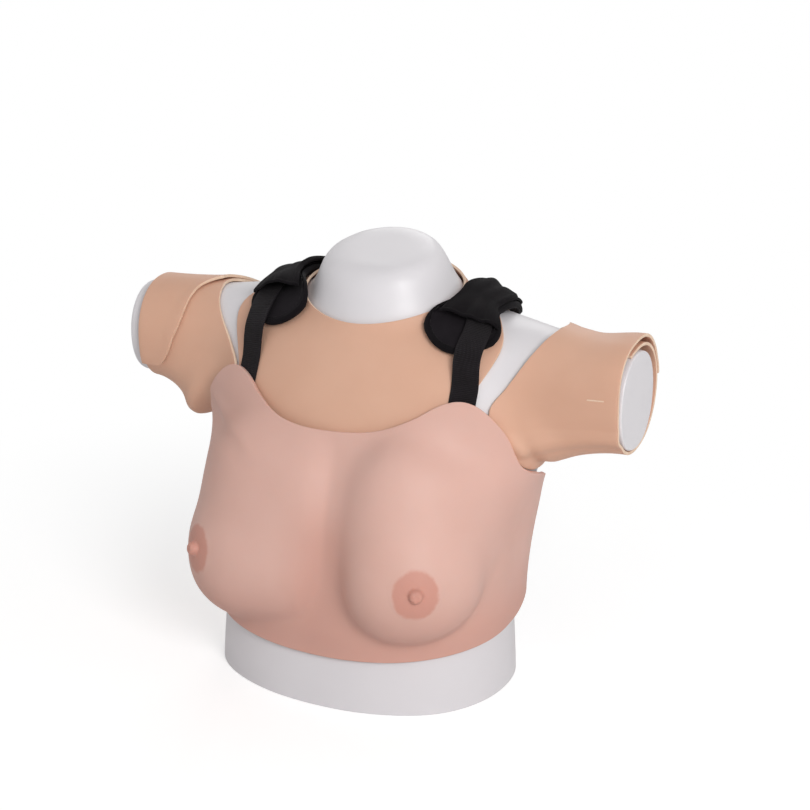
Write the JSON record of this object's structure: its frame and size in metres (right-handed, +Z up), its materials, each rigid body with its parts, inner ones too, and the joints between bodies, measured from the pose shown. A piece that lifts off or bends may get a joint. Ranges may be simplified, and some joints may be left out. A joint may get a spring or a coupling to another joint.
{
  "type": "breast examination trainer",
  "caption": "White half torso wearing a tan bib and sleeves and a pink breast skin with lump inserts, hung from padded shoulder straps, for practising breast examination.",
  "frame": {"origin": "middle of the flat base that the torso stands on", "axes": "+Z up, the chest faces -Y, +X to the wearer's left along the arm stumps"},
  "size_m": [0.482, 0.2755, 0.3898],
  "materials": {
    "torso_plastic": "satin",
    "tan_elastomer": "matte",
    "pink_elastomer": "satin",
    "insert_gel": "satin",
    "lump_silicone": "matte",
    "pad_foam": "matte",
    "pad_fabric": "matte",
    "webbing": "matte",
    "moulded_plastic": "satin",
    "elastic_band": "matte",
    "patch_fabric": "matte"
  },
  "bodies": {
    "trainer": {"display_torso": "torso_plastic", "chest_bib": "tan_elastomer", "sleeve_left": "tan_elastomer", "sleeve_right": "tan_elastomer", "breast_skin": "pink_elastomer", "small_lump_left": "lump_silicone", "medium_lump_left": "lump_silicone", "large_lump_left": "lump_silicone", "flat_lump_left": "lump_silicone", "upper_axillary_node_left": "lump_silicone", "lower_axillary_node_left": "lump_silicone", "breast_insert_left": "insert_gel", "shoulder_pad_left": "pad_foam", "pad_cover_left": "pad_fabric", "shoulder_strap_left": "webbing", "back_ring_left": "moulded_plastic", "ring_loop_left": "webbing", "back_belt_left": "elastic_band", "small_lump_right": "lump_silicone", "medium_lump_right": "lump_silicone", "large_lump_right": "lump_silicone", "flat_lump_right": "lump_silicone", "upper_axillary_node_right": "lump_silicone", "lower_axillary_node_right": "lump_silicone", "breast_insert_right": "insert_gel", "shoulder_pad_right": "pad_foam", "pad_cover_right": "pad_fabric", "shoulder_strap_right": "webbing", "back_ring_right": "moulded_plastic", "ring_loop_right": "webbing", "back_belt_right": "elastic_band", "loop_patch": "patch_fabric", "hook_patch": "patch_fabric"},
    "adjuster_left": {"strap_slide_left": "moulded_plastic"},
    "adjuster_right": {"strap_slide_right": "moulded_plastic"}
  },
  "joints": [
    {"name": "slide_left", "type": "slide", "parent": "trainer", "child": "adjuster_left", "axis": [0, 0.1715, 0.9852], "range_m": [-0.03, 0.03]},
    {"name": "slide_right", "type": "slide", "parent": "trainer", "child": "adjuster_right", "axis": [0, 0.1715, 0.9852], "range_m": [-0.03, 0.03]}
  ]
}
